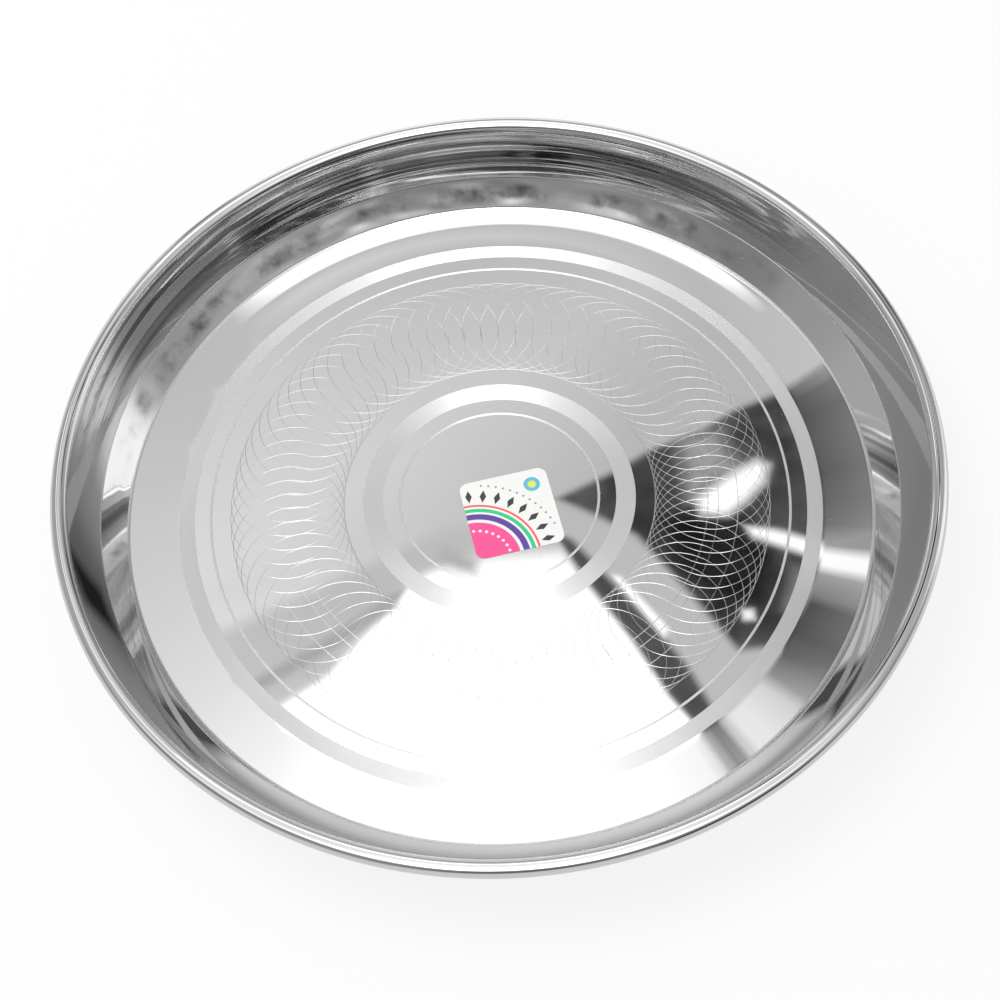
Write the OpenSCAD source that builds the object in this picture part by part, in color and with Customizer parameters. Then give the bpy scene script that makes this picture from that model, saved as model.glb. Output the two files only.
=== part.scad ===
// Round thali plate: one stainless steel pressing with a curled rim,
// and a small self-adhesive label on its floor.
// Millimetres, +Z up. The origin is the middle of the underside.

/* [Plate] */
// Diameter over the curled rim
plate_d = 300; // [200:1:400]
// Height from the table to the top of the rim
plate_h = 32.4; // [26:0.1:60]
// Thickness of the steel sheet
sheet_t = 0.6; // [0.4:0.05:1]

/* [Rim] */
// Outside diameter of the curl's round section
curl_d = 6; // [4:0.1:8]
// How far the sheet is curled round, in degrees
curl_turn = 296; // [240:1:305]

/* [Wall] */
// Level distance from the curl's middle in to the wall's foot
wall_run = 10; // [4:0.1:14]
// Level width of the steep ring between the floor and the wall's foot
ring_w = 8.2; // [5:0.1:12]
// Slope of that ring, in degrees from level
ring_slope = 50; // [40:1:56]
// Bend radius at the wall's foot, on the inside
foot_bend_r = 2.4; // [1:0.1:4]

/* [Floor] */
// Level width of the margin that rises gently round the flat floor
margin_w = 16.3; // [10:0.1:24]
// Slope of the margin where it meets the steep ring, in degrees
margin_slope = 10; // [4:0.5:14]
// Bend radius where the margin meets the steep ring, on the inside
floor_bend_r = 1.6; // [0.8:0.1:3]

/* [Satin rings] */
// Depth of the matt rings etched in the floor
etch_t = 0.02; // [0.01:0.01:0.1]
// Distance from the edge of the flat floor in to the outer wide ring
outer_ring_in = 0.4; // [0.2:0.1:6]
// Width of the outer wide ring
outer_ring_w = 5.4; // [2:0.1:9]
// Distance from the outer wide ring in to the thin ring beside it
outer_line_in = 5.3; // [1:0.1:8]
// Outside diameter of the inner wide ring
inner_ring_d = 95.2; // [84:0.1:96]
// Width of the inner wide ring
inner_ring_w = 6.8; // [2:0.1:10]
// Distance from the inner wide ring in to the thin ring beside it
inner_line_in = 5.6; // [1:0.1:8]
// Width of the thin rings
line_w = 0.9; // [0.3:0.1:2]

/* [Label] */
// Side of the square label
label_side = 31.2; // [15:0.1:50]
// Radius of the label's corners
label_corner_r = 3.2; // [0.5:0.1:7]
// Thickness of the printed face
face_t = 0.1; // [0.05:0.01:0.3]
// Thickness of the adhesive under it
adhesive_t = 0.04; // [0.02:0.01:0.1]
// How far the adhesive stops short of the face's edge
adhesive_inset = 0.3; // [0.1:0.05:0.4]
// Distance of the label's middle to the right of the plate's middle
label_right = 3.8; // [-8:0.1:8]
// Distance of the label's middle in front of the plate's middle
label_front = 7.3; // [-8:0.1:8]
// Turn of the label, in degrees
label_turn = 9.7; // [-45:0.1:45]

/* [Hidden] */
// How far a cutter runs past the face that it cuts
overrun = 1;
// How far a bend runs into the stretches beside it, so that the sheet is one piece
lap = 0.02;
// Sides of the round shapes, about the plate's axis and in its section
turn_sides = 360;
section_sides = 96;

// Points of the section are [radius, height]. Slopes and angles are in degrees from level.
function along(p, slope, d) = p + d * [cos(slope), sin(slope)];

// The section is walked from the flat floor outwards: each stretch starts where the last one
// ends, with the same slope. An arc's middle is above the sheet until the wall's top.
curl_r = curl_d / 2;
curl_mid = [plate_d / 2 - curl_r, plate_h - curl_r];
foot_r = curl_mid.x - wall_run;
margin_end_r = foot_r - ring_w;
flat_r = margin_end_r - margin_w;

// The margin leaves the flat level and reaches its full slope at its end.
margin_r = margin_w / sin(margin_slope);
margin_mid = [flat_r, sheet_t + margin_r];
margin_end = along(margin_mid, margin_slope - 90, margin_r);

// The floor's bend takes the slope from the margin's to the ring's.
floor_bend_mid = along(margin_end, margin_slope + 90, floor_bend_r);
ring_start = along(floor_bend_mid, ring_slope - 90, floor_bend_r);
ring_end = along(ring_start, ring_slope, (foot_r - ring_start.x) / cos(ring_slope));

// The wall is the line that touches the foot's bend on one side and the curl on the other.
foot_bend_mid = along(ring_end, ring_slope + 90, foot_bend_r);
to_curl = curl_mid - foot_bend_mid;
both_r = curl_r + foot_bend_r;
wall_slope = atan2(to_curl.y, to_curl.x) + asin(both_r / norm(to_curl));
wall_start = along(foot_bend_mid, wall_slope - 90, foot_bend_r);
wall_end = along(curl_mid, wall_slope + 90, curl_r);
curl_from = wall_slope + 90;

// A wedge of the plane with its point at the origin, that cuts out any ring of radius up to r.
module wedge(r, from, to) {
    steps = ceil((to - from) / 60);
    polygon(concat([[0, 0]], [for (i = [0:steps]) along([0, 0], from + (to - from) * i / steps, 2 * r)]));
}

// A bend in the sheet: the part of a ring between two angles, and a lap at each end.
module bend(middle, r_in, from, to) {
    lap_angle = lap / r_in * 180 / PI;
    translate(middle) intersection() {
        difference() {
            circle(r_in + sheet_t, $fn = section_sides);
            circle(r_in, $fn = section_sides);
        }
        wedge(r_in + sheet_t, from - lap_angle, to + lap_angle);
    }
}

// A straight stretch of sheet under the line from p to q.
module straight(p, q) {
    translate(p) rotate(atan2(q.y - p.y, q.x - p.x)) translate([0, -sheet_t]) square([norm(q - p), sheet_t]);
}

// Half of the plate's section, from its axis to the curl's cut edge.
module sheet_section() {
    square([flat_r, sheet_t]);
    bend(margin_mid, margin_r, -90, margin_slope - 90);
    bend(floor_bend_mid, floor_bend_r, margin_slope - 90, ring_slope - 90);
    straight(ring_start, ring_end);
    bend(foot_bend_mid, foot_bend_r, ring_slope - 90, wall_slope - 90);
    straight(wall_start, wall_end);
    bend(curl_mid, curl_r - sheet_t, curl_from - curl_turn, curl_from);
}

// The section of one etched ring, given its outer radius and its width.
module etched(r, w) {
    translate([r - w, sheet_t - etch_t]) square([w, etch_t + overrun]);
}

module plate_pressing() {
    outer_ring_r = flat_r - outer_ring_in;
    inner_ring_r = inner_ring_d / 2;
    color("silver") rotate_extrude($fn = turn_sides) difference() {
        sheet_section();
        etched(outer_ring_r, outer_ring_w);
        etched(outer_ring_r - outer_ring_w - outer_line_in, line_w);
        etched(inner_ring_r, inner_ring_w);
        etched(inner_ring_r - inner_ring_w - inner_line_in, line_w);
    }
}

// A square with rounded corners, centred.
module rounded_square(side, r) {
    straight_side = side - 2 * r;
    square([side, straight_side], center = true);
    square([straight_side, side], center = true);
    for (x = [-1, 1], y = [-1, 1]) translate([x, y] * straight_side / 2) circle(r, $fn = section_sides);
}

// Puts a layer of the label in its place on the floor, raised by lift.
module on_floor(lift) {
    translate([label_right, -label_front, sheet_t + lift]) rotate(label_turn) children();
}

module label_adhesive() {
    color("ivory") on_floor(0) linear_extrude(adhesive_t)
        rounded_square(label_side - 2 * adhesive_inset, label_corner_r - adhesive_inset);
}

module label_face() {
    color("hotpink") on_floor(adhesive_t) linear_extrude(face_t) rounded_square(label_side, label_corner_r);
}

plate_pressing();
label_adhesive();
label_face();
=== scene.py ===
# %% [markdown]
# # A polished steel thali plate
# The plate is one thin steel sheet, pressed to shape and curled at its rim. Its floor is
# polished like a mirror, with four matt rings and a band of fine engraved circles, and a small
# printed label sticks to it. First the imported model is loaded. It is the frame: it gives every
# piece its place, and nothing here moves it.

# %% The frame
import math

import bpy
from mathutils import Matrix, Vector


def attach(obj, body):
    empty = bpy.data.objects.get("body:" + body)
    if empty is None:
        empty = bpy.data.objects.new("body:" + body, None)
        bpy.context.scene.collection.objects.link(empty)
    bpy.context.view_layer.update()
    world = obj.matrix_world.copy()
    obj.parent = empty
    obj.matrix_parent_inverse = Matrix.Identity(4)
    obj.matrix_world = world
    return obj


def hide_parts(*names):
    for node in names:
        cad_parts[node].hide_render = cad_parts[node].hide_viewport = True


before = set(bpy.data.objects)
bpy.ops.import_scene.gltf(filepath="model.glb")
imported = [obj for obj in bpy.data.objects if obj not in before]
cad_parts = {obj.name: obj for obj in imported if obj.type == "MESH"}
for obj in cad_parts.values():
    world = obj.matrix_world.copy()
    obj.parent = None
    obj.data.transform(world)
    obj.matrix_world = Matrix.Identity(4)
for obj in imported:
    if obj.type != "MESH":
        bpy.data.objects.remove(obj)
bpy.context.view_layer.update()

# %% [markdown]
# ## Units and small helpers
# The workshop measures a plate in millimetres, and Blender works in metres, so lengths are
# written as a number times MM. Tones are written as they look on the screen, from 0 for black to
# 1 for white, and turned to the light that Blender counts in.

# %% Units and tones
MM = 0.001
STEEL_REFLECTANCE = 0.57


def light(tone):
    """The linear light of a tone as it looks on the screen."""
    return tone / 12.92 if tone <= 0.04045 else ((tone + 0.055) / 1.055) ** 2.4


def seen_in_steel(tone):
    """How bright a card has to be for its mirror image in the steel to have this tone."""
    return light(tone) / STEEL_REFLECTANCE


# %% Shader node helpers
def new_material(name):
    """An empty material: its node tree and its output."""
    material = bpy.data.materials.new(name)
    material.use_nodes = True
    tree = material.node_tree
    tree.nodes.clear()
    return material, tree, tree.nodes.new("ShaderNodeOutputMaterial")


def put(tree, kind, settings=None, **inputs):
    """Adds a node. Settings are its properties; inputs are values, or sockets to link."""
    node = tree.nodes.new(kind)
    for name, value in (settings or {}).items():
        setattr(node, name, value)
    for name, value in inputs.items():
        socket = node.inputs[int(name[1:]) if name[1:].isdigit() else name.replace("_", " ")]
        if isinstance(value, bpy.types.NodeSocket):
            tree.links.new(value, socket)
        else:
            socket.default_value = value
    return node


def flow(tree, kind, settings=None, **inputs):
    """Adds a node, as put() does, and gives its first output."""
    return put(tree, kind, settings, **inputs).outputs[0]


def calc(tree, operation, *values):
    """One step of arithmetic in a shader or geometry tree."""
    inputs = {f"i{i}": value for i, value in enumerate(values)}
    return flow(tree, "ShaderNodeMath", {"operation": operation}, **inputs)


def blend_colour(tree, share, first, second):
    """Mixes two colours: all first at share 0, all second at share 1."""
    node = put(tree, "ShaderNodeMix", {"data_type": "RGBA"}, i0=share, i6=first, i7=second)
    return node.outputs[2]


def vector_calc(tree, operation, *values, output="Vector"):
    """One step of vector arithmetic. Its output is a vector, or a number where output says Value."""
    inputs = {f"i{i}": value for i, value in enumerate(values)}
    return put(tree, "ShaderNodeVectorMath", {"operation": operation}, **inputs).outputs[output]


def noise(tree, settings=None, **inputs):
    """Smooth random values from 0 to 1. Their scale is one over the size of a patch."""
    return put(tree, "ShaderNodeTexNoise", settings, **inputs).outputs["Fac"]


def smooth_step(tree, value, start, end, **inputs):
    """Goes smoothly from 0 at start to 1 at end, or from To_Min to To_Max."""
    return flow(tree, "ShaderNodeMapRange", {"interpolation_type": "SMOOTHSTEP"}, Value=value,
                From_Min=start, From_Max=end, **inputs)


def object_place(tree):
    """The place of the shaded point, in the coordinates of its object."""
    return put(tree, "ShaderNodeTexCoord").outputs["Object"]


def flattened(tree, place):
    """A place with its height taken away, so that its length is the distance from the axis."""
    return vector_calc(tree, "MULTIPLY", place, (1, 1, 0))


# %% [markdown]
# ## The camera
# The photograph looks down at the plate from the front, with a slight roll. The angles and the
# lens come from fitting circles of the plate to the picture. The camera is aimed at the middle of
# the floor, and the small shift puts that point where the photograph has it.

# %% The camera
CAMERA_ELEVATION = math.radians(58.09)
CAMERA_ROLL = math.radians(-4.31)
CAMERA_DISTANCE = 644.95 * MM
FLOOR_Z = 0.6 * MM
LENS = 66.43
SENSOR = 36
SHIFT = (0.00071, -0.00417)

sight = Vector((0, -math.cos(CAMERA_ELEVATION), math.sin(CAMERA_ELEVATION)))
side = Vector((1, 0, 0))
above = sight.cross(side)
rolled_side = side * math.cos(CAMERA_ROLL) + above * math.sin(CAMERA_ROLL)
rolled_above = above * math.cos(CAMERA_ROLL) - side * math.sin(CAMERA_ROLL)
camera_place = sight * CAMERA_DISTANCE + Vector((0, 0, FLOOR_Z))

camera_data = bpy.data.cameras.new("camera")
camera_data.lens, camera_data.sensor_width = LENS, SENSOR
camera_data.shift_x, camera_data.shift_y = SHIFT
camera = bpy.data.objects.new("camera", camera_data)
bpy.context.scene.collection.objects.link(camera)
turn = Matrix((rolled_side, rolled_above, sight)).transposed().to_4x4()
camera.matrix_world = Matrix.Translation(camera_place) @ turn
bpy.context.scene.camera = camera
print("camera at, mm:", [round(c / MM, 1) for c in camera_place])

# %% [markdown]
# ## The table and the room's light
# A plain white table fills the view. Where the camera, or the steel, looks at the table or past
# it, it is white; the rest of the light falls softly from all round and from one large lamp, so
# that the label's colours come out as they are written, and the plate keeps a soft shadow. The
# table shows only from above, so that the plate's underside can be seen from below.

# %% The table
TABLE_SIZE = 6.0
TABLE_DROP = 0.02 * MM
TABLE_COLOUR = (light(0.95),) * 3 + (1,)
# How far the table is plain white there. The rest is its cloth, which takes the shadow.
TABLE_OWN_WHITE = 0.84


def background_rays(tree):
    """1 for the rays that should see a white background: camera, gloss and glass."""
    path = put(tree, "ShaderNodeLightPath")
    some = calc(tree, "MAXIMUM", path.outputs["Is Camera Ray"], path.outputs["Is Glossy Ray"])
    return calc(tree, "MAXIMUM", some, path.outputs["Is Transmission Ray"])


def plain_object(name, points, faces, materials):
    """A mesh object at the origin, with its place in its points."""
    mesh = bpy.data.meshes.new(name)
    mesh.from_pydata([tuple(p) for p in points], [], faces)
    for material in materials:
        mesh.materials.append(material)
    made = bpy.data.objects.new(name, mesh)
    bpy.context.scene.collection.objects.link(made)
    return made


table_material, tree, output = new_material("white_table")
white = flow(tree, "ShaderNodeEmission", Color=(1, 1, 1, 1), Strength=1.0)
cloth = flow(tree, "ShaderNodeBsdfDiffuse", Color=TABLE_COLOUR)
share = calc(tree, "MULTIPLY", background_rays(tree), TABLE_OWN_WHITE)
top = flow(tree, "ShaderNodeMixShader", i0=share, i1=cloth, i2=white)
clear = flow(tree, "ShaderNodeBsdfTransparent")
under = put(tree, "ShaderNodeNewGeometry").outputs["Backfacing"]
both = flow(tree, "ShaderNodeMixShader", i0=under, i1=top, i2=clear)
tree.links.new(both, output.inputs["Surface"])

half = TABLE_SIZE / 2
corners = [(x, y, -TABLE_DROP) for x, y in ((-half, -half), (half, -half), (half, half), (-half, half))]
table = plain_object("table", corners, [(0, 1, 2, 3)], [table_material])

# %% The room's light
ROOM_LIGHT = 0.62
LAMP_POWER = 16
LAMP_SIZE = 1.2
LAMP_PLACE = Vector((-0.7, 0.3, 1.5))

world = bpy.data.worlds.new("room")
world.use_nodes = True
bpy.context.scene.world = world
tree = world.node_tree
tree.nodes.clear()
soft = flow(tree, "ShaderNodeBackground", Color=(1, 1, 1, 1), Strength=ROOM_LIGHT)
white = flow(tree, "ShaderNodeBackground", Color=(1, 1, 1, 1), Strength=1.0)
room = flow(tree, "ShaderNodeMixShader", i0=background_rays(tree), i1=soft, i2=white)
put(tree, "ShaderNodeOutputWorld", Surface=room)

lamp_data = bpy.data.lights.new("lamp", "AREA")
lamp_data.energy, lamp_data.size = LAMP_POWER, LAMP_SIZE
lamp = bpy.data.objects.new("lamp", lamp_data)
bpy.context.scene.collection.objects.link(lamp)
lamp.location = LAMP_PLACE
lamp.rotation_euler = LAMP_PLACE.to_track_quat("Z", "Y").to_euler()
lamp.visible_glossy = False
bpy.context.scene.view_settings.view_transform = "Standard"

# %% [markdown]
# ## Cards for the steel to mirror
# Polished steel has hardly any look of its own: it shows the room. Photographers hang grey and
# white cards round such a plate, outside the picture, and shape its reflections with them. The
# flat floor mirrors what hangs above and behind it. So each card is given by the outline that its
# mirror image has on the floor, in millimetres from the middle, and the camera's own mirror image
# shows where the card has to hang for that.
#
# A card's edge fades over a soft margin. Only gloss sees the cards: they light nothing, and throw
# no shadow.

# %% How a card is made
# The least corner keeps a sharp corner from running far out when its edges move.
CLOUD_SIZE, LEAST_CORNER = 22 * MM, 0.5
MIRRORED_CAMERA = Vector((camera_place.x, camera_place.y, 2 * FLOOR_Z - camera_place.z))


def hang_over(spot, height):
    """Where a card's point hangs, at this height, for its image to be at this spot of the floor."""
    seen = Vector((spot[0] * MM, spot[1] * MM, FLOOR_Z))
    rise = (height - MIRRORED_CAMERA.z) / (FLOOR_Z - MIRRORED_CAMERA.z)
    return MIRRORED_CAMERA + (seen - MIRRORED_CAMERA) * rise


def moved_edges(corners, distance):
    """The outline with every edge moved outwards by a distance, for corners in either order."""
    count = len(corners)
    area = sum(corners[i - 1].cross(corners[i]) for i in range(count))
    moved = []
    for i, corner in enumerate(corners):
        before = (corner - corners[i - 1]).normalized()
        after = (corners[(i + 1) % count] - corner).normalized()
        out_before = Vector((before.y, -before.x)) * math.copysign(1, area)
        out_after = Vector((after.y, -after.x)) * math.copysign(1, area)
        out = out_before + out_after
        moved.append(corner + out * distance / max(LEAST_CORNER, 1 + out_before.dot(out_after)))
    return moved


def ring_faces(start, count):
    """Faces between a closed ring of points, from number start on, and the ring after it."""
    edges = [(start + i, start + (i + 1) % count) for i in range(count)]
    return [(a, b, b + count, a + count) for a, b in edges]


def strip_faces(steps, rows):
    """Faces of an open strip, whose points come in steps along it, with rows of them in each."""
    starts = [step * rows + row for step in range(steps - 1) for row in range(rows - 1)]
    return [(a, a + 1, a + rows + 1, a + rows) for a in starts]


card_material, tree, output = new_material("studio_card")
glow, cover, mottle = (put(tree, "ShaderNodeAttribute", {"attribute_name": name}).outputs["Fac"]
                       for name in ("glow", "cover", "mottle"))
cloud = noise(tree, Vector=object_place(tree), Scale=1 / CLOUD_SIZE, Detail=4.0, Roughness=0.6)
uneven = calc(tree, "MULTIPLY", calc(tree, "SUBTRACT", cloud, 0.5), mottle)
brightness = calc(tree, "MULTIPLY", glow, calc(tree, "MAXIMUM", calc(tree, "ADD", uneven, 1.0), 0.0))
shine = flow(tree, "ShaderNodeEmission", Strength=brightness)
clear = flow(tree, "ShaderNodeBsdfTransparent")
card = flow(tree, "ShaderNodeMixShader", i0=cover, i1=clear, i2=shine)
tree.links.new(card, output.inputs["Surface"])
card_material.cycles.emission_sampling = "NONE"


def hang_card(name, points, faces, glows, covers, mottle=0.0):
    """One card object, which only gloss can see. Mottle makes its tone cloudy."""
    made = plain_object(name, points, faces, [card_material])
    for attribute, values in (("glow", glows), ("cover", covers), ("mottle", [mottle] * len(points))):
        layer = made.data.attributes.new(attribute, "FLOAT", "POINT")
        layer.data.foreach_set("value", values)
    made.visible_camera = made.visible_diffuse = made.visible_transmission = False
    made.visible_shadow = False


def soft_card(name, outline, tones, soft_edge, mottle, hang):
    """A card with soft edges. Its outline is flat, and hang() gives each point its place."""
    corners = [Vector(p) for p in outline]
    count = len(corners)
    tones = tones if isinstance(tones, (list, tuple)) else [tones] * count
    inner, outer = moved_edges(corners, -soft_edge / 2), moved_edges(corners, soft_edge / 2)
    faces = [tuple(range(count))] + ring_faces(0, count)
    glows = [seen_in_steel(t) for t in tones] * 2
    covers = [1.0] * count + [0.0] * count
    hang_card(name, [hang(p) for p in inner + outer], faces, glows, covers, mottle)


def mirror_card(name, outline, tones, height, soft_edge=2.0, mottle=0.0):
    """A card given by the outline of its image on the floor, with one tone or one a corner."""
    soft_card(name, outline, tones, soft_edge, mottle, lambda p: hang_over(p, height))


# %% The tent
# Round and above the plate stands a pale tent. Its tone changes slowly from side to side. Each
# side is set by a few lamps and flags behind the cloth: azimuth and elevation in degrees, with
# azimuth -90 at the front, and the tone that the steel shows.
TENT_RADIUS = 6.0
TENT_RINGS, TENT_SIDES = 45, 90
TENT_BLUR, LEAST_WEIGHT = math.radians(12), 1e-9
FRONT = [(-90, 4, 0.78), (-90, 18, 0.34), (-90, 31, 0.34), (-90, 39, 0.76), (-90, 51, 2.10),
         (-90, 70, 1.15), (-112, 31, 0.48), (-118, 42, 0.80), (-114, 54, 2.30), (-66, 31, 0.42),
         (-62, 42, 0.98), (-66, 54, 2.30)]
FRONT_LEFT = [(-135, 10, 0.58), (-136, 27, 0.46), (-140, 42, 1.00), (-130, 54, 1.50),
              (-148, 58, 0.78), (-158, 13, 0.54), (-158, 25, 0.44), (-163, 38, 0.92),
              (-162, 60, 0.90)]
LEFT = [(180, 16, 0.58), (162, 14, 0.63), (165, 36, 0.62), (141, 22, 0.61), (127, 32, 0.58),
        (130, 49, 0.60), (172, 52, 0.72), (138, 64, 0.85)]
BACK = [(121, 10, 0.84), (92, 11, 0.97), (78, 10, 0.92), (104, 34, 0.60), (90, 28, 0.76),
        (88, 43, 0.58), (70, 26, 0.62), (66, 40, 0.57), (90, 60, 0.74)]
RIGHT = [(52, 27, 0.38), (36, 24, 0.62), (45, 46, 0.62), (18, 22, 0.96), (20, 8, 0.95),
         (15, 50, 0.66), (0, 18, 0.57), (5, 68, 0.85), (-22, 13, 0.50), (-22, 27, 0.64),
         (-20, 60, 0.80)]
FRONT_RIGHT = [(-44, 10, 0.22), (-43, 28, 0.55), (-38, 42, 1.00), (-42, 56, 0.95)]
TOP = [(0, 88, 0.95)]
TENT_TONES = FRONT + FRONT_LEFT + LEFT + BACK + RIGHT + FRONT_RIGHT + TOP


def direction(azimuth, elevation):
    """The direction at these angles, in degrees."""
    a, e = math.radians(azimuth), math.radians(elevation)
    return Vector((math.cos(a) * math.cos(e), math.sin(a) * math.cos(e), math.sin(e)))


def tent_tone(d):
    """The tone in one direction: an average of the set tones, in which the nearest count most."""
    turns = [d.angle(direction(azimuth, elevation)) / TENT_BLUR for azimuth, elevation, _ in TENT_TONES]
    weights = [math.exp(-2 * turn ** 2) + LEAST_WEIGHT for turn in turns]
    return sum(w * t for w, (_, _, t) in zip(weights, TENT_TONES)) / sum(weights)


spots = [direction(360 * step / TENT_SIDES, 90 * ring / TENT_RINGS)
         for ring in range(TENT_RINGS) for step in range(TENT_SIDES)]
last_ring, top = len(spots) - TENT_SIDES, len(spots)
spots.append(Vector((0, 0, 1)))
faces = [face for ring in range(TENT_RINGS - 1) for face in ring_faces(ring * TENT_SIDES, TENT_SIDES)]
faces += [(last_ring + i, last_ring + (i + 1) % TENT_SIDES, top) for i in range(TENT_SIDES)]
hang_card("tent", [d * TENT_RADIUS for d in spots], faces,
          [seen_in_steel(tent_tone(d)) for d in spots], [1.0] * len(spots))
print("tent:", len(faces), "faces")

# %% Posts inside the tent
# Three dark posts and a pale strip stand just inside the tent. The plate's wall and the near part
# of its steep ring mirror them. Their outlines are in azimuth and elevation.
POSTS_AT = 5.5


def post(name, outline, tone, soft_edge):
    """A card just inside the tent, given by the directions of its corners."""
    soft_card(name, outline, tone, soft_edge, 0.0, lambda p: direction(*p) * POSTS_AT)


post("right_post", [(110, 3), (116, 3), (116, 21), (110, 21)], 0.33, 2.0)
post("left_strip", [(124, 40), (130, 52), (140, 63), (156, 71), (160, 67), (146, 59), (136, 49),
                    (130, 38)], 1.1, 3.0)
post("side_post", [(50, 26), (56, 26), (57, 33), (51, 34)], 0.15, 3.0)
post("left_post", [(62, 4), (69, 4), (69, 18), (62, 18)], 0.33, 3.0)

# %% The cards over the floor
# Far cards come first. A nearer card hides a farther one. Each has its outline, its tones, its
# height, its soft edge and how mottled it is.
FAR, MIDDLE, NEAR = 3.2, 0.50, 0.42
mirror_card("grey_ceiling",
            [(-135, 130), (140, 130), (140, -60), (20, -12), (-20, -12), (-95, -45), (-135, -45)],
            [0.74, 0.70, 0.74, 0.73, 0.78, 0.87, 0.87], FAR + 0.1, 6)
mirror_card("white_wedge",
            [(-14, -24), (-30, -31), (-61, -66), (-110, -96), (-150, -140), (150, -140),
             (70, -100), (20, -24)],
            [1.0, 1.12, 1.25, 1.25, 1.25, 1.25, 1.25, 1.0], FAR, 4)
mirror_card("smoky_corner", [(-20, -20), (-9, -25), (-10, -31), (-16, -29), (-24, -24)], 0.68, NEAR, 5)
mirror_card("dark_flag",
            [(20, -3), (40, 6), (54, 14), (74, 21), (85, 28), (104, 35), (115, 36), (118, 0),
             (116, -34), (100, -66), (75, -67), (62, -45), (46, -20), (30, -9)],
            [0.28, 0.28, 0.28, 0.26, 0.26, 0.30, 0.32, 0.38, 0.40, 0.22, 0.30, 0.22, 0.24, 0.30],
            MIDDLE, 3, 3.0)
mirror_card("darkest_flag", [(56, -13), (84, -14), (92, -30), (85, -50), (70, -46), (58, -32)],
            0.13, MIDDLE - 0.02, 6, 2.4)
mirror_card("pale_patch", [(64, 18), (80, 20), (84, 4), (66, -6)], 0.62, MIDDLE - 0.04, 8, 1.6)
mirror_card("white_patch",
            [(69, -8), (80, 0), (91, 6), (94, 4), (92, -2), (85, -9), (78, -14), (70, -13)],
            1.12, MIDDLE - 0.06, 6)
mirror_card("bright_streak", [(84, -20), (95, -23), (118, -33), (117, -40), (100, -31), (86, -24)],
            1.10, MIDDLE - 0.06, 4)
mirror_card("under_streak", [(98, -38), (116, -44), (112, -58), (94, -52)], 0.58, MIDDLE - 0.05, 8, 1.6)
mirror_card("bright_spot", [(78, -52), (82, -52), (82, -56), (78, -56)], 1.0, MIDDLE - 0.06, 2)
mirror_card("dark_edge",
            [(18, -17), (24, -20), (48, -55), (58, -72), (66, -92), (62, -100), (50, -82),
             (40, -60), (26, -35)],
            0.30, NEAR, 3, 1.2)
mirror_card("white_edge", [(36, -35), (39, -36), (53, -57), (51, -60)], 1.05, NEAR - 0.02, 2)
mirror_card("grey_strip",
            [(-34, -34), (-42, -38), (-63, -52), (-92, -68), (-90, -72), (-62, -57), (-38, -42)],
            0.66, NEAR, 3)

# %% The card over the margin
# The floor's margin rises, so it would mirror far cards in the wrong place. A low card hangs just
# above the rim, all round but for the back, and follows the margin. It is given by its turn in
# degrees, and by the tones of its inner and outer edge. Its rows have their radius in mm, how much
# they cover, and how far they are from the inner tone to the outer.
LOW = 36 * MM
MARGIN_TONES = [
    (-234, 0.74, 0.78), (-221, 0.74, 0.75), (-208, 0.74, 0.73), (-195, 0.76, 0.75),
    (-180, 0.79, 0.78), (-160, 0.83, 0.82), (-145, 0.88, 0.88), (-132, 0.95, 0.95),
    (-120, 1.05, 1.05), (-75, 1.05, 1.05), (-63, 0.98, 0.95), (-60.5, 0.97, 0.94),
    (-59.2, 0.92, 0.80), (-57.8, 0.68, 0.68), (-56.3, 0.50, 0.68), (-55.2, 0.50, 0.80),
    (-54, 0.76, 0.93), (-52.3, 0.90, 0.94), (-50, 0.90, 0.92), (-45, 0.83, 0.84),
    (-42, 0.55, 0.76), (-38, 0.40, 0.64), (-33, 0.32, 0.48), (-27, 0.31, 0.50),
    (-25, 0.50, 0.58), (-21, 0.62, 0.66), (-19, 1.00, 0.98), (-17, 1.00, 0.98),
    (-15, 0.62, 0.58), (-11, 0.45, 0.58), (-6, 0.40, 0.52), (0, 0.36, 0.50), (12, 0.34, 0.50),
    (16, 0.37, 0.54), (18, 0.45, 0.66), (20, 0.75, 0.76), (33, 0.74, 0.75), (46, 0.74, 0.77),
]
LOW_ROWS = [(112.0, 0.0, 0.0), (112.8, 1.0, 0.0), (119.0, 1.0, 1.0), (121.5, 1.0, 1.0),
            (122.5, 0.0, 1.0)]
LOW_REACH = 3.0


def round_spot(radius, turn):
    """The spot at this radius, and this turn in degrees, round the plate's axis."""
    return radius * math.cos(math.radians(turn)), radius * math.sin(math.radians(turn))


points, glows, covers = [], [], []
for number, (turn, inner, outer) in enumerate(MARGIN_TONES):
    at_end = number in (0, len(MARGIN_TONES) - 1)
    nearness = max(0, -math.sin(math.radians(turn)))
    for r, cover, share in LOW_ROWS:
        points.append(hang_over(round_spot(r + share * LOW_REACH * nearness, turn), LOW))
        glows.append(seen_in_steel(inner + (outer - inner) * share))
        covers.append(0.0 if at_end else cover)
hang_card("margin_card", points, strip_faces(len(MARGIN_TONES), len(LOW_ROWS)), glows, covers)

# %% The dark flag over the near rim
# The back wall of the plate mirrors the floor, and in it the near wall. A dark flag above the near
# rim keeps that last image dark. Its rows have their radius, and how much they cover.
RIM_FLAG_TONE, RIM_FLAG_TURNS = 0.32, range(214, 327, 8)
RIM_FLAG_ROWS = [(119 * MM, 0.0), (123 * MM, 1.0), (130 * MM, 1.0), (132 * MM, 0.0)]
points = [(*round_spot(r, turn), LOW) for turn in RIM_FLAG_TURNS for r, _ in RIM_FLAG_ROWS]
covers = [cover for _, cover in RIM_FLAG_ROWS] * len(RIM_FLAG_TURNS)
hang_card("rim_flag", points, strip_faces(len(RIM_FLAG_TURNS), len(RIM_FLAG_ROWS)),
          [seen_in_steel(RIM_FLAG_TONE)] * len(points), covers)

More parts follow.
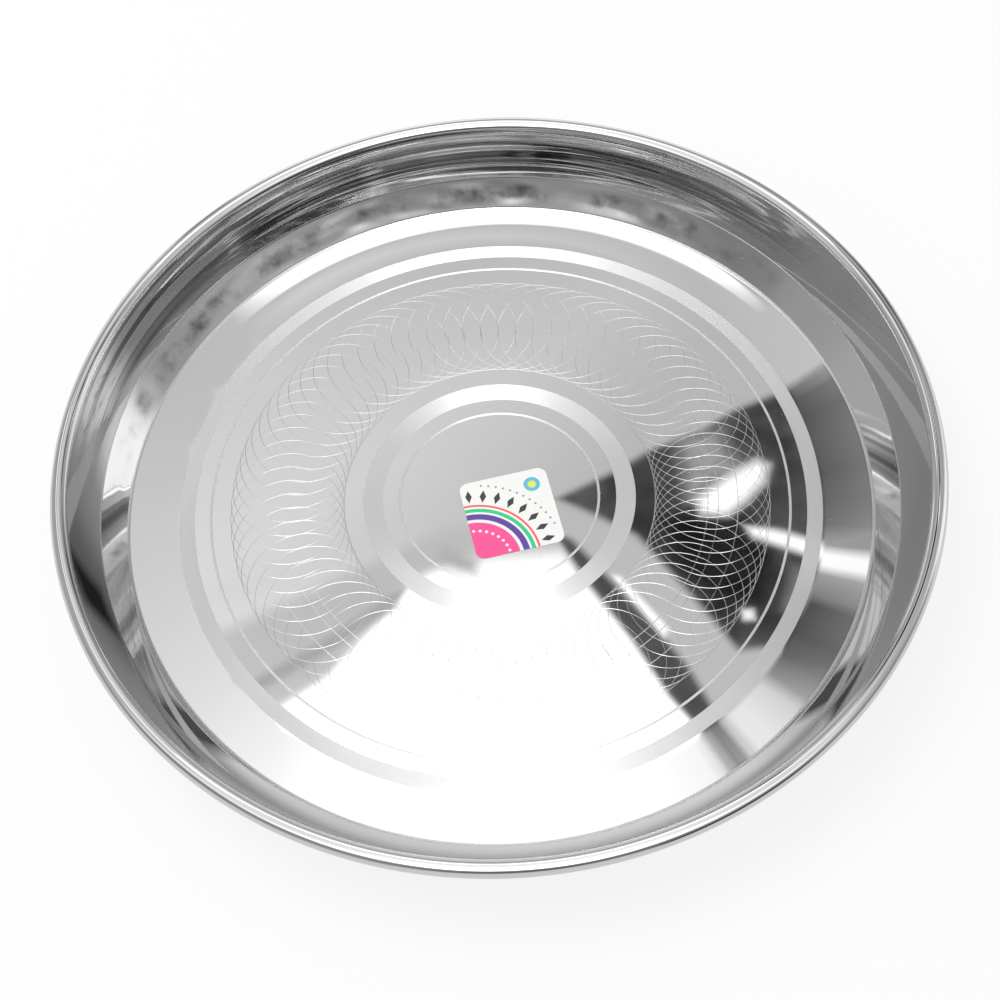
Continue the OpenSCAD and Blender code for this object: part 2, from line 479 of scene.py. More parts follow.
# %% [markdown]
# ## The section of the sheet
# The plate is a sheet 0.6 mm thick, pressed to one section all the way round. The section is
# walked outwards, as it was for the solid: a flat floor, a margin that rises gently, a bend, a
# steep ring, a bend, the wall, and the curl. Each stretch starts where the last one ends, with the
# same slope. The walk gives the points of the upper and the lower side.

# %% Sizes of the section
SHEET = 0.6 * MM
RIM_R, RIM_Z = 150 * MM, 32.4 * MM
CURL_R, CURL_TURN = 3 * MM, 296
WALL_RUN, RING_W, RING_SLOPE, FOOT_BEND_R = 10 * MM, 8.2 * MM, 50, 2.4 * MM
MARGIN_W, MARGIN_SLOPE, FLOOR_BEND_R = 16.3 * MM, 10, 1.6 * MM
ETCH = 0.02 * MM
OUTER_RING_IN, OUTER_RING_W, OUTER_LINE_IN = 0.4 * MM, 5.4 * MM, 5.3 * MM
INNER_RING_R, INNER_RING_W, INNER_LINE_IN, LINE_W = 47.6 * MM, 6.8 * MM, 5.6 * MM, 0.9 * MM


def along(p, slope, distance):
    """A point at a distance from p, with the slope in degrees from level."""
    return p + distance * Vector((math.cos(math.radians(slope)), math.sin(math.radians(slope))))


curl_mid = Vector((RIM_R - CURL_R, RIM_Z - CURL_R))
foot_r = curl_mid.x - WALL_RUN
flat_r = foot_r - RING_W - MARGIN_W
margin_r = MARGIN_W / math.sin(math.radians(MARGIN_SLOPE))
margin_mid = Vector((flat_r, SHEET + margin_r))
margin_end = along(margin_mid, MARGIN_SLOPE - 90, margin_r)
floor_bend_mid = along(margin_end, MARGIN_SLOPE + 90, FLOOR_BEND_R)
ring_start = along(floor_bend_mid, RING_SLOPE - 90, FLOOR_BEND_R)
ring_end = along(ring_start, RING_SLOPE, (foot_r - ring_start.x) / math.cos(math.radians(RING_SLOPE)))
foot_bend_mid = along(ring_end, RING_SLOPE + 90, FOOT_BEND_R)
to_curl = curl_mid - foot_bend_mid
wall_slope = math.degrees(math.atan2(to_curl.y, to_curl.x)
                          + math.asin((CURL_R + FOOT_BEND_R) / to_curl.length))
print("flat floor to r", round(flat_r / MM, 2), "mm, wall slope", round(wall_slope, 2), "deg")

# %% The walk
# Steps of each stretch: more where the sheet bends tightly.
MARGIN_STEPS, BEND_STEPS, RING_STEPS, WALL_STEPS, CURL_STEPS = 16, 8, 6, 12, 44
END_POINT = 0.12 * MM


def arc(mid, radius, start, end, steps):
    """Points along an arc, between two angles in degrees from level."""
    return [along(mid, start + (end - start) * i / steps, radius) for i in range(steps + 1)]


def stretch(p, q, steps):
    """A straight stretch, with a point close to each end, so that the bends' shading stays short."""
    close = END_POINT / (q - p).length
    return [p.lerp(q, close)] + [p.lerp(q, i / steps) for i in range(1, steps)] + [p.lerp(q, 1 - close)]


def side_of_sheet(depth):
    """The walk from the flat floor's edge to the curl's cut edge, this deep in the sheet."""
    foot = arc(foot_bend_mid, FOOT_BEND_R + depth, RING_SLOPE - 90, wall_slope - 90, BEND_STEPS)
    bend = arc(floor_bend_mid, FLOOR_BEND_R + depth, MARGIN_SLOPE - 90, RING_SLOPE - 90, BEND_STEPS)
    curl = arc(curl_mid, CURL_R - depth, wall_slope + 90, wall_slope + 90 - CURL_TURN, CURL_STEPS)
    margin = arc(margin_mid, margin_r + depth, -90, MARGIN_SLOPE - 90, MARGIN_STEPS)
    return margin[:-1] + bend + stretch(bend[-1], foot[0], RING_STEPS) + foot \
        + stretch(foot[-1], curl[0], WALL_STEPS) + curl


outer_ring_r = flat_r - OUTER_RING_IN
outer_line_r = outer_ring_r - OUTER_RING_W - OUTER_LINE_IN
inner_line_r = INNER_RING_R - INNER_RING_W - INNER_LINE_IN
matt_rings = [(inner_line_r - LINE_W, inner_line_r), (INNER_RING_R - INNER_RING_W, INNER_RING_R),
              (outer_line_r - LINE_W, outer_line_r), (outer_ring_r - OUTER_RING_W, outer_ring_r)]
section, matt = [Vector((0, SHEET))], [0.0]
for inner, outer in matt_rings:
    for r, depth in ((inner, 0), (inner, ETCH), (outer, ETCH), (outer, 0)):
        section.append(Vector((r, SHEET - depth)))
        matt.append(1.0 if depth else 0.0)
plain = side_of_sheet(0) + side_of_sheet(SHEET)[::-1] + [Vector((0, 0))]
section += plain
matt += [0.0] * len(plain)
print("section:", len(section), "points")
print("matt rings, mm:", [[round(r / MM, 1) for r in ring] for ring in matt_rings])

# %% [markdown]
# ## Spinning a section with Geometry Nodes
# A shape that is the same all round follows one rule, so Geometry Nodes make it. The tree takes
# the section as a line of points, lays out a grid with one column for each point and one row for
# each step of the turn, and moves every grid point to its place. Merging the doubles closes the
# seam and the middle. The same group spins the plate, and the ridge of one engraved circle.

# %% Node groups
def new_group(name, inputs, outputs):
    """A geometry node group with named sockets: its tree, its inputs and its outputs."""
    group = bpy.data.node_groups.new(name, "GeometryNodeTree")
    for label, kind, default in inputs:
        socket = group.interface.new_socket(label, in_out="INPUT", socket_type=kind)
        if default is not None:
            socket.default_value = default
    for label, kind in outputs:
        group.interface.new_socket(label, in_out="OUTPUT", socket_type=kind)
    return group, group.nodes.new("NodeGroupInput").outputs, group.nodes.new("NodeGroupOutput").inputs


# %% The spinning group
SHARP_ANGLE = math.radians(25)
WELD = 0.0005 * MM

spin, given, result = new_group(
    "spin_section",
    [("Section", "NodeSocketGeometry", None), ("Steps Round", "NodeSocketInt", 360),
     ("Sharp Angle", "NodeSocketFloat", SHARP_ANGLE)],
    [("Mesh", "NodeSocketGeometry")])
points = put(spin, "GeometryNodeAttributeDomainSize", {"component": "MESH"},
             Geometry=given["Section"]).outputs["Point Count"]
rows = calc(spin, "ADD", given["Steps Round"], 1)
grid = flow(spin, "GeometryNodeMeshGrid", Vertices_X=points, Vertices_Y=rows)
index = flow(spin, "GeometryNodeInputIndex")
column = calc(spin, "FLOOR", calc(spin, "DIVIDE", calc(spin, "ADD", index, 0.5), rows))
row = calc(spin, "SUBTRACT", index, calc(spin, "MULTIPLY", column, rows))
angle = calc(spin, "MULTIPLY", calc(spin, "DIVIDE", row, given["Steps Round"]), math.tau)
where = flow(spin, "GeometryNodeInputPosition")
corner = flow(spin, "GeometryNodeSampleIndex", {"data_type": "FLOAT_VECTOR", "clamp": True},
              Geometry=given["Section"], Value=where, Index=column)
turned = flow(spin, "ShaderNodeVectorRotate", {"rotation_type": "Z_AXIS"}, Vector=corner, Angle=angle)
mark = flow(spin, "GeometryNodeInputNamedAttribute", {"data_type": "FLOAT"}, Name="matt")
matt_here = flow(spin, "GeometryNodeSampleIndex", {"data_type": "FLOAT", "clamp": True},
                 Geometry=given["Section"], Value=mark, Index=column)
marked = flow(spin, "GeometryNodeStoreNamedAttribute", {"data_type": "FLOAT", "domain": "POINT"},
              Geometry=grid, Name="matt", Value=matt_here)
placed = flow(spin, "GeometryNodeSetPosition", Geometry=marked, Position=turned)
welded = flow(spin, "GeometryNodeMergeByDistance", Geometry=placed, Distance=WELD)
smooth = flow(spin, "GeometryNodeSetShadeSmooth", {"domain": "FACE"}, Geometry=welded)
fold = put(spin, "GeometryNodeInputMeshEdgeAngle").outputs["Unsigned Angle"]
is_sharp = flow(spin, "FunctionNodeCompare", {"data_type": "FLOAT", "operation": "GREATER_THAN"},
                A=fold, B=given["Sharp Angle"])
creased = flow(spin, "GeometryNodeSetShadeSmooth", {"domain": "EDGE"}, Geometry=smooth,
               Selection=is_sharp, Shade_Smooth=False)
spin.links.new(creased, result["Mesh"])


def section_object(name, points, mattness):
    """The section as a line of points in the XZ plane: mattness is 1 for those of matt steel."""
    mesh = bpy.data.meshes.new(name)
    mesh.from_pydata([(p.x, 0, p.y) for p in points], [(i, i + 1) for i in range(len(points) - 1)], [])
    mesh.attributes.new("matt", "FLOAT", "POINT").data.foreach_set("value", mattness)
    made = bpy.data.objects.new(name, mesh)
    bpy.context.scene.collection.objects.link(made)
    return made


def finish_nodes(source, tree, name, **values):
    """Runs a tree on an object, with its inputs set by name, and keeps only the plain mesh."""
    modifier = source.modifiers.new("nodes", "NODES")
    modifier.node_group = tree
    for item in tree.interface.items_tree:
        if item.in_out == "INPUT" and item.name in values:
            modifier[item.identifier] = values[item.name]
    bpy.context.view_layer.update()
    evaluated = source.evaluated_get(bpy.context.evaluated_depsgraph_get())
    mesh = bpy.data.meshes.new_from_object(evaluated)
    mesh.name = name
    made = bpy.data.objects.new(name, mesh)
    bpy.context.scene.collection.objects.link(made)
    bpy.data.objects.remove(source)
    triangles = sum(len(p.vertices) - 2 for p in mesh.polygons)
    print(name + ":", len(mesh.vertices), "points,", triangles, "triangles")
    return made


# %% [markdown]
# ## Steel
# Three finishes of one steel. The polished sheet is a mirror, with hair-fine rings from the
# polishing wheel: they spread its gloss a little outwards, so the roughness is drawn out along
# the radius. The matt rings are brushed in circles, and spread it far more. The sides of the
# engraved lines are smoother, but not as bright as the sheet.
#
# One node group works out what the three share: how colour, painted shade included, and roughness
# change from place to place, and the height of the marks that the tools left. Each is a pattern times a
# mask.

# %% Masks and patterns
# Lengths along the wall's turn are measured at one radius.
WALL_R = 135.4 * MM


def radius_band(tree, across, start, end, soft):
    """1 where the radius is between two values, fading over a soft width at each."""
    rise = smooth_step(tree, across, start - soft / 2, start + soft / 2)
    fall = smooth_step(tree, across, end - soft / 2, end + soft / 2, To_Min=1.0, To_Max=0.0)
    return calc(tree, "MULTIPLY", rise, fall)


def drawn_out_noise(tree, outward, level, length, height, detail):
    """Noise whose patches have this length along the wall's turn, and this height up it."""
    turned = flow(tree, "ShaderNodeVectorMath", {"operation": "SCALE"}, i0=outward,
                  Scale=WALL_R / length)
    raised = flow(tree, "ShaderNodeCombineXYZ", Z=calc(tree, "DIVIDE", level, height))
    return noise(tree, Vector=vector_calc(tree, "ADD", turned, raised), Scale=1.0, Detail=detail)


def painted_darker(tree, tone, mask, pattern, start, end, dark):
    """Painted shade: the tone, made darker inside the mask by up to this share, as a pattern rises to
    its end.
    """
    left = smooth_step(tree, pattern, start, end, To_Min=1.0, To_Max=1.0 - dark)
    factor = flow(tree, "ShaderNodeMix", {"data_type": "FLOAT"}, i0=mask, i2=1.0, i3=left)
    return calc(tree, "MULTIPLY", tone, factor)


marks = bpy.data.node_groups.new("steel_look", "ShaderNodeTree")
for label, usual in (("Tone", 0.57), ("Roughness", 0.05), ("Cloudiness", 0.02), ("Ring Depth", 0.1),
                     ("Dent Depth", 0.3), ("Streak Depth", 0.1)):
    socket = marks.interface.new_socket(label, in_out="INPUT", socket_type="NodeSocketFloat")
    socket.default_value = usual
for label, kind in (("Color", "NodeSocketColor"), ("Roughness", "NodeSocketFloat"),
                    ("Height", "NodeSocketFloat"), ("Dents", "NodeSocketFloat")):
    marks.interface.new_socket(label, in_out="OUTPUT", socket_type=kind)
given, result = marks.nodes.new("NodeGroupInput").outputs, marks.nodes.new("NodeGroupOutput").inputs
place = object_place(marks)
flat_place = flattened(marks, place)
across = vector_calc(marks, "LENGTH", flat_place, output="Value")
outward = vector_calc(marks, "NORMALIZE", flat_place)
level = put(marks, "ShaderNodeSeparateXYZ", Vector=place).outputs[2]

# %% How rough the steel is
# Handling leaves clouds and small specks. A few faint rings are turned in the floor, and the bend at
# its edge is worn.
CLOUD_SCALE = 28.0
FAINT_RINGS = (83.0 * MM, 76.2 * MM, 72.6 * MM)
FAINT_W, FAINT_ROUGHNESS = 0.16 * MM, 0.10
SPECK_SPACING, SPECK_R, SPECK_SHARE, SPECK_ROUGHNESS = 5 * MM, 0.16 * MM, 0.6, 0.5
WORN_FROM, WORN_TO, WORN_SOFT, WORN_ROUGHNESS = 128.7 * MM, 129.8 * MM, 0.3 * MM, 0.28

clouds = noise(marks, Vector=place, Scale=CLOUD_SCALE, Detail=3.0)
uneven = calc(marks, "SUBTRACT", clouds, 0.5)
cell = put(marks, "ShaderNodeTexVoronoi", Vector=place, Scale=1 / SPECK_SPACING)
chance = flow(marks, "ShaderNodeSeparateColor", Color=cell.outputs["Color"])
close = calc(marks, "LESS_THAN", cell.outputs["Distance"], SPECK_R / SPECK_SPACING)
speck = calc(marks, "MULTIPLY", close, calc(marks, "LESS_THAN", chance, SPECK_SHARE))
worn = radius_band(marks, across, WORN_FROM, WORN_TO, WORN_SOFT)
rougher = [(calc(marks, "COMPARE", across, r, FAINT_W), FAINT_ROUGHNESS) for r in FAINT_RINGS]
rougher += [(worn, WORN_ROUGHNESS), (speck, SPECK_ROUGHNESS)]
rough = calc(marks, "ADD", given["Roughness"], calc(marks, "MULTIPLY", uneven, given["Cloudiness"]))
for mask, more in rougher:
    rough = calc(marks, "ADD", rough, calc(marks, "MULTIPLY", mask, more))
marks.links.new(rough, result["Roughness"])

# %% The polishing wheel's rings
# They cover the floor, and show as a fine relief across the radius.
POLISH_SCALE, POLISHED_TO = 1800.0, 128.0 * MM
polish = noise(marks, {"noise_dimensions": "1D"}, W=across, Scale=POLISH_SCALE, Detail=4.0)
polish = calc(marks, "MULTIPLY", polish, calc(marks, "LESS_THAN", across, POLISHED_TO))
marks.links.new(calc(marks, "MULTIPLY", polish, given["Ring Depth"]), result["Height"])

# %% Dents, blotches of painted shade, streaks and lines at the back
# The back of the steep ring is dented where the tool pressed it, bows a little, and has blotches of
# painted shade in its tone. The back wall has broad streaks along its turn, and finer lines that are a
# slight relief and also painted shade, darker in tone. A darkness is given by where in its pattern it
# starts, where it is full, and how dark it gets.
RING_BAND, WALL_BAND = (131.3 * MM, 135.4 * MM, 2.6 * MM), (138.6 * MM, 144.2 * MM, 1.6 * MM)
BACKWARD, BACK_FROM, BACK_TO = (-0.25, 0.97, 0), 30 * MM, 100 * MM
DENT_SIZE, SHADE_BLOTCH_SIZE = 14 * MM, 12 * MM
STREAK_LENGTH, STREAK_HEIGHT = 150 * MM, 7 * MM
FINE_LENGTH, FINE_HEIGHT, FINE_SHARE = 300 * MM, 2.3 * MM, 0.36
# How dark the painted shade gets, in the back wall's fine lines and the back ring's blotches.
FINE_LINE_SHADE, BLOTCH_SHADE = (0.40, 0.60, 0.68), (0.40, 0.76, 0.75)
BOW_FROM, BOW_TO, BOW = 130.0 * MM, 136.5 * MM, 0.0055
CLOUD_TONE, BLUENESS = 0.03, 1.004

how_far_back = vector_calc(marks, "DOT_PRODUCT", place, BACKWARD, output="Value")
at_back = smooth_step(marks, how_far_back, BACK_FROM, BACK_TO)
on_ring = calc(marks, "MULTIPLY", radius_band(marks, across, *RING_BAND), at_back)
on_wall = calc(marks, "MULTIPLY", radius_band(marks, across, *WALL_BAND), at_back)
dents = noise(marks, Vector=place, Scale=1 / DENT_SIZE, Detail=0.8, Roughness=0.4)
shade_blotches = noise(marks, Vector=place, Scale=1 / SHADE_BLOTCH_SIZE, Detail=3.0, Roughness=0.6)
streaks = drawn_out_noise(marks, outward, level, STREAK_LENGTH, STREAK_HEIGHT, detail=0.0)
fine = drawn_out_noise(marks, outward, level, FINE_LENGTH, FINE_HEIGHT, detail=1.0)

tone = calc(marks, "ADD", given["Tone"], calc(marks, "MULTIPLY", uneven, CLOUD_TONE))
# Painted shade: the back wall's fine lines and the back ring's blotches darken the steel's tone.
tone = painted_darker(marks, tone, on_wall, fine, *FINE_LINE_SHADE)
tone = painted_darker(marks, tone, on_ring, shade_blotches, *BLOTCH_SHADE)
bluer = calc(marks, "MULTIPLY", tone, BLUENESS)
colour = flow(marks, "ShaderNodeCombineColor", Red=tone, Green=tone, Blue=bluer)
marks.links.new(colour, result["Color"])

dents = calc(marks, "MULTIPLY", calc(marks, "SUBTRACT", dents, 0.5), given["Dent Depth"])
streaks = calc(marks, "MULTIPLY_ADD", calc(marks, "SUBTRACT", fine, 0.5), FINE_SHARE,
               calc(marks, "SUBTRACT", streaks, 0.5))
streaks = calc(marks, "MULTIPLY", streaks, given["Streak Depth"])
inside = flow(marks, "ShaderNodeMapRange", Value=across, From_Min=BOW_FROM, From_Max=BOW_TO,
              To_Min=(BOW_TO - BOW_FROM) / MM, To_Max=0.0)
bow = calc(marks, "MULTIPLY", calc(marks, "POWER", inside, 2), BOW)
relief = calc(marks, "MULTIPLY", bow, at_back)
for height, mask in ((dents, on_ring), (streaks, on_wall)):
    relief = calc(marks, "MULTIPLY_ADD", height, mask, relief)
marks.links.new(relief, result["Dents"])

# %% The three finishes
POLISH_DEPTH = 0.01 * MM
MIRRORED_SHADE_TONE, DIM_ROUGHNESS = 0.30, 0.60


def steel(name, tone, roughness, cloudiness, ring_depth, bump, anisotropy, dent_depth=0.0,
          streak_depth=0.0, dim_image=False):
    """A steel material. Its gloss is drawn out along the radius. Dents and streaks are in mm. With
    dim_image, what other steel mirrors of it is dark and dull, a painted shade in its mirror image, so
    that fine lines don't glitter."""
    material, tree, output = new_material(name)
    look = put(tree, "ShaderNodeGroup", {"node_tree": marks}, Tone=tone, Roughness=roughness,
               Cloudiness=cloudiness, Ring_Depth=ring_depth, Dent_Depth=dent_depth,
               Streak_Depth=streak_depth).outputs
    radial = vector_calc(tree, "NORMALIZE", flattened(tree, object_place(tree)))
    relief = flow(tree, "ShaderNodeBump", Strength=bump, Distance=POLISH_DEPTH, Height=look["Height"])
    if dent_depth or streak_depth:
        relief = flow(tree, "ShaderNodeBump", Strength=1.0, Distance=MM, Height=look["Dents"],
                      Normal=relief)
    colour, rough = look["Color"], look["Roughness"]
    # Painted shade in reflections: other steel sees this steel darker and duller than it is.
    if dim_image:
        mirrored = put(tree, "ShaderNodeLightPath").outputs["Is Glossy Ray"]
        colour = blend_colour(tree, mirrored, colour, (MIRRORED_SHADE_TONE,) * 3 + (1,))
        rough = calc(tree, "MAXIMUM", rough, calc(tree, "MULTIPLY", mirrored, DIM_ROUGHNESS))
    metal = flow(tree, "ShaderNodeBsdfPrincipled", Metallic=1.0, Anisotropic=anisotropy,
                 Base_Color=colour, Roughness=rough, Normal=relief, Tangent=radial)
    tree.links.new(metal, output.inputs["Surface"])
    return material


polished_steel = steel("polished_steel", STEEL_REFLECTANCE, roughness=0.035, cloudiness=0.01,
                       ring_depth=1.0, bump=0.05, anisotropy=0.4, dent_depth=0.42, streak_depth=0.22)
matt_steel = steel("matt_steel", 0.82, roughness=0.50, cloudiness=0.03, ring_depth=1.0, bump=0.05,
                   anisotropy=0.92)
engraved_steel = steel("engraved_steel", 0.60, roughness=0.22, cloudiness=0.02, ring_depth=0.0,
                       bump=0.0, anisotropy=0.0, dim_image=True)

# %% The plate
# The pressed ring and wall are never quite even, so they swell in and out very slightly.
STEPS_ROUND = 360
SWELL_SCALE, SWELL_DEPTH, SWELL_FADE, SEED = 40.0, 0.03 * MM, 4 * MM, 7.0
WHOLLY_MATT = 0.9

plate_tree, given, result = new_group(
    "spun_plate",
    [("Section", "NodeSocketGeometry", None), ("Steps Round", "NodeSocketInt", STEPS_ROUND),
     ("Swell Scale", "NodeSocketFloat", SWELL_SCALE), ("Swell Depth", "NodeSocketFloat", SWELL_DEPTH),
     ("Swell From", "NodeSocketFloat", foot_r - RING_W), ("Swell To", "NodeSocketFloat", curl_mid.x),
     ("Seed", "NodeSocketFloat", SEED),
     ("Polished", "NodeSocketMaterial", None), ("Matt", "NodeSocketMaterial", None)],
    [("Plate", "NodeSocketGeometry")])
body = flow(plate_tree, "GeometryNodeGroup", {"node_tree": spin}, Section=given["Section"],
            Steps_Round=given["Steps Round"])
where = flow(plate_tree, "GeometryNodeInputPosition")
flat_place = flattened(plate_tree, where)
across = vector_calc(plate_tree, "LENGTH", flat_place, output="Value")
full_from = calc(plate_tree, "ADD", given["Swell From"], SWELL_FADE)
full_to = calc(plate_tree, "SUBTRACT", given["Swell To"], SWELL_FADE)
rise = smooth_step(plate_tree, across, given["Swell From"], full_from)
fall = smooth_step(plate_tree, across, full_to, given["Swell To"], To_Min=1.0, To_Max=0.0)
swell = noise(plate_tree, {"noise_dimensions": "4D"}, Vector=where, W=given["Seed"],
              Scale=given["Swell Scale"], Detail=1.0)
push = calc(plate_tree, "MULTIPLY", calc(plate_tree, "SUBTRACT", swell, 0.5), given["Swell Depth"])
push = calc(plate_tree, "MULTIPLY", push, calc(plate_tree, "MULTIPLY", rise, fall))
outward = vector_calc(plate_tree, "NORMALIZE", flat_place)
offset = flow(plate_tree, "ShaderNodeVectorMath", {"operation": "SCALE"}, i0=outward, Scale=push)
swelled = flow(plate_tree, "GeometryNodeSetPosition", Geometry=body, Offset=offset)
real = flow(plate_tree, "GeometryNodeRealizeInstances", Geometry=swelled)
bright = flow(plate_tree, "GeometryNodeSetMaterial", Geometry=real, Material=given["Polished"])
mark = flow(plate_tree, "GeometryNodeInputNamedAttribute", {"data_type": "FLOAT"}, Name="matt")
face_mark = flow(plate_tree, "GeometryNodeFieldOnDomain", {"data_type": "FLOAT", "domain": "FACE"},
                 Value=mark)
is_matt = flow(plate_tree, "FunctionNodeCompare", {"data_type": "FLOAT", "operation": "GREATER_THAN"},
               A=face_mark, B=WHOLLY_MATT)
dressed = flow(plate_tree, "GeometryNodeSetMaterial", Geometry=bright, Selection=is_matt,
               Material=given["Matt"])
plate_tree.links.new(dressed, result["Plate"])

plate = finish_nodes(section_object("plate_section", section, matt), plate_tree, "steel_plate",
                     Polished=polished_steel, Matt=matt_steel)
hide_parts("plate_pressing")
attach(plate, "root")

# %% The engraved circles
# The circles look cut one by one on a hand-fed turntable: their pitch drifts round the ring, once
# and twice a turn. Each drift has its greatest angle and its phase in degrees. A circle is a low
# ridge, whose sides catch the light as the sides of a cut do.
CIRCLES, CIRCLE_R, CIRCLES_AT = 80, 19.9 * MM, 74.2 * MM
DRIFTS = [(1, 5.25, 26.6), (2, 3.46, 24.4)]
CUT_W, CUT_SLOPE, CUT_STEPS, SUNK = 0.17 * MM, math.radians(26.5), 128, 0.001 * MM
CUT_H = CUT_W / 2 * math.tan(CUT_SLOPE)

cuts, given, result = new_group(
    "engraved_circles",
    [("Section", "NodeSocketGeometry", None), ("Circles", "NodeSocketInt", CIRCLES),
     ("Circles At", "NodeSocketFloat", CIRCLES_AT), ("Floor Height", "NodeSocketFloat", FLOOR_Z - SUNK),
     ("Steps Round", "NodeSocketInt", CUT_STEPS), ("Steel", "NodeSocketMaterial", None)],
    [("Lines", "NodeSocketGeometry")])
ridge = flow(cuts, "GeometryNodeGroup", {"node_tree": spin}, Section=given["Section"],
             Steps_Round=given["Steps Round"])
middles = flow(cuts, "GeometryNodeMeshCircle", Vertices=given["Circles"], Radius=given["Circles At"])
number = flow(cuts, "GeometryNodeInputIndex")
even_turn = calc(cuts, "MULTIPLY", calc(cuts, "DIVIDE", number, given["Circles"]), math.tau)
drift = 0.0
for times, greatest, phase in DRIFTS:
    wave = calc(cuts, "SINE", calc(cuts, "MULTIPLY_ADD", even_turn, times, math.radians(phase)))
    drift = calc(cuts, "MULTIPLY_ADD", wave, -math.radians(greatest), drift)
where = flow(cuts, "GeometryNodeInputPosition")
drifted = flow(cuts, "ShaderNodeVectorRotate", {"rotation_type": "Z_AXIS"}, Vector=where, Angle=drift)
lift = flow(cuts, "ShaderNodeCombineXYZ", Z=given["Floor Height"])
raised = flow(cuts, "GeometryNodeSetPosition", Geometry=middles, Position=drifted, Offset=lift)
spread = flow(cuts, "GeometryNodeInstanceOnPoints", Points=raised, Instance=ridge)
real = flow(cuts, "GeometryNodeRealizeInstances", Geometry=spread)
dressed = flow(cuts, "GeometryNodeSetMaterial", Geometry=real, Material=given["Steel"])
cuts.links.new(dressed, result["Lines"])

corners = [(CIRCLE_R - CUT_W / 2, 0), (CIRCLE_R, CUT_H), (CIRCLE_R + CUT_W / 2, 0)]
ridge_section = section_object("ridge_section", [Vector(p) for p in corners], [0.0] * len(corners))
engraving = finish_nodes(ridge_section, cuts, "engraved_circles", Steel=engraved_steel)
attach(engraving, "root")

# %% [markdown]
# ## The label
# The label is a small square of glossy film with rounded corners, printed on a digital press, and
# stuck on with a thin layer of adhesive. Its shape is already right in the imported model, so the
# two layers stay, and get their finish here.

# %% The label's print
# The print is a sunrise in one corner: a pink sun, arcs of purple, green and red, a row of dark
# rays, fine dots, and a small blue ring with a pale core. Lengths are in mm, and every part is set
# by its reach from the corner.
LABEL_MID, LABEL_TURN, LABEL_HALF = (3.8 * MM, -7.3 * MM, 0), math.radians(9.7), 15.6
PAPER, PINK, PURPLE = (0.955, 0.955, 0.945), (0.975, 0.33, 0.60), (0.37, 0.255, 0.63)
GREEN, RED, INK = (0.175, 0.80, 0.55), (1.0, 0.37, 0.35), (0.20, 0.20, 0.22)
GREY, BLUE, LIME = (0.60, 0.60, 0.66), (0.40, 0.74, 0.86), (0.86, 0.93, 0.42)


def printed(tones):
    """The colour that a print has to have, to look like these tones of red, green and blue."""
    return tuple(light(t) for t in tones) + (1,)


label_print, tree, output = new_material("label_print")
place = object_place(tree)
on_label = flow(tree, "ShaderNodeMapping", {"vector_type": "TEXTURE"}, Vector=place,
                Location=LABEL_MID, Rotation=(0, 0, LABEL_TURN), Scale=(MM, MM, MM))
flat = flattened(tree, vector_calc(tree, "ADD", on_label, (LABEL_HALF, LABEL_HALF, 0)))
reach = vector_calc(tree, "LENGTH", flat, output="Value")
parts = put(tree, "ShaderNodeSeparateXYZ", Vector=flat).outputs
swing = calc(tree, "DEGREES", calc(tree, "ARCTAN2", parts[1], parts[0]))

# %% Rows of beads
DIAMOND_SHAPE = 0.45


def beads(at_reach, step, size, shape, first, last):
    """A row of small marks along an arc, one every step degrees: diamonds or dots."""
    turns = calc(tree, "DIVIDE", calc(tree, "SUBTRACT", swing, first), step)
    sideways = calc(tree, "MULTIPLY", calc(tree, "SUBTRACT", calc(tree, "FRACT", turns), 0.5),
                    math.radians(step) * at_reach)
    outwards = calc(tree, "SUBTRACT", reach, at_reach)
    if shape == "diamond":
        longways = calc(tree, "MULTIPLY", calc(tree, "ABSOLUTE", outwards), DIAMOND_SHAPE)
        far = calc(tree, "ADD", calc(tree, "ABSOLUTE", sideways), longways)
    else:
        squares = [calc(tree, "POWER", away, 2) for away in (sideways, outwards)]
        far = calc(tree, "SQRT", calc(tree, "ADD", *squares))
    small = calc(tree, "LESS_THAN", far, size)
    inside = calc(tree, "COMPARE", swing, (first + last) / 2, (last - first) / 2)
    return calc(tree, "MULTIPLY", small, inside)


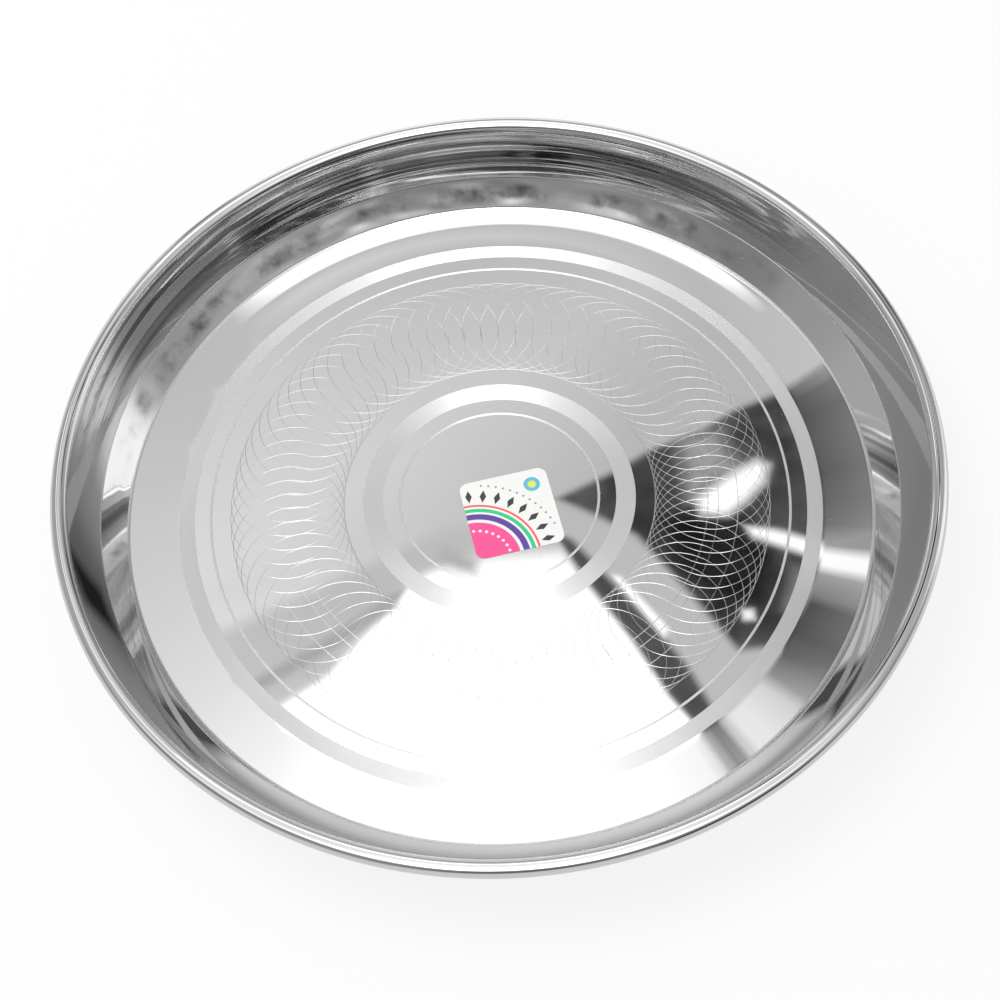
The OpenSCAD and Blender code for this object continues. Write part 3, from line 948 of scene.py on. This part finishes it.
# %% The layers of ink
# An arc has the reach of its middle, its width and its colour. A row of beads has its reach, the
# degrees from bead to bead, a bead's size and shape, where the row starts and ends, and its colour.
# What the steel mirrors of the label is kept grey, because the photograph's wall shows no colour.
SUN_REACH = 15.0
ARCS = [(17.3, 2.2, PURPLE), (19.9, 1.4, GREEN), (21.8, 0.8, RED)]
BEAD_ROWS = [(11.6, 11.25, 0.55, "dot", 0, 90, PAPER), (25.6, 11.25, 1.15, "diamond", 0, 90, INK),
             (30.0, 5.0, 0.42, "dot", 12.5, 77.5, GREY)]
DISCS_AT, DISCS = (25.2, 25.2, 0), [(2.9, BLUE), (1.5, LIME)]
MIRRORED_GREY = (0.62, 0.62, 0.62)
GRAIN_SCALE, SMOOTHEST, ROUGHEST = 900.0, 0.24, 0.34

print_layers = [(calc(tree, "LESS_THAN", reach, SUN_REACH), PINK)]
print_layers += [(calc(tree, "COMPARE", reach, middle, width / 2), ink) for middle, width, ink in ARCS]
print_layers += [(beads(*row), ink) for *row, ink in BEAD_ROWS]
from_discs = vector_calc(tree, "DISTANCE", flat, DISCS_AT, output="Value")
print_layers += [(calc(tree, "LESS_THAN", from_discs, radius), ink) for radius, ink in DISCS]
colour = printed(PAPER)
for mask, ink in print_layers:
    colour = blend_colour(tree, mask, colour, printed(ink))
mirrored = put(tree, "ShaderNodeLightPath").outputs["Is Glossy Ray"]
colour = blend_colour(tree, mirrored, colour, printed(MIRRORED_GREY))
grain = noise(tree, Vector=place, Scale=GRAIN_SCALE, Detail=2.0)
dull = flow(tree, "ShaderNodeMapRange", Value=grain, To_Min=SMOOTHEST, To_Max=ROUGHEST)
film = flow(tree, "ShaderNodeBsdfPrincipled", Base_Color=colour, Roughness=dull)
tree.links.new(film, output.inputs["Surface"])

# %% The label's adhesive
GUM, GUM_SHADE, GUM_SCALE, GUM_ROUGHNESS = (0.93, 0.90, 0.80), 0.92, 400.0, 0.55
label_gum, tree, output = new_material("label_gum")
cloud = noise(tree, Vector=object_place(tree), Scale=GUM_SCALE, Detail=2.0)
colour = blend_colour(tree, cloud, printed(GUM), printed([t * GUM_SHADE for t in GUM]))
gum = flow(tree, "ShaderNodeBsdfPrincipled", Base_Color=colour, Roughness=GUM_ROUGHNESS)
tree.links.new(gum, output.inputs["Surface"])
for node, material in (("label_face", label_print), ("label_adhesive", label_gum)):
    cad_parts[node].data.materials.clear()
    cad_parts[node].data.materials.append(material)
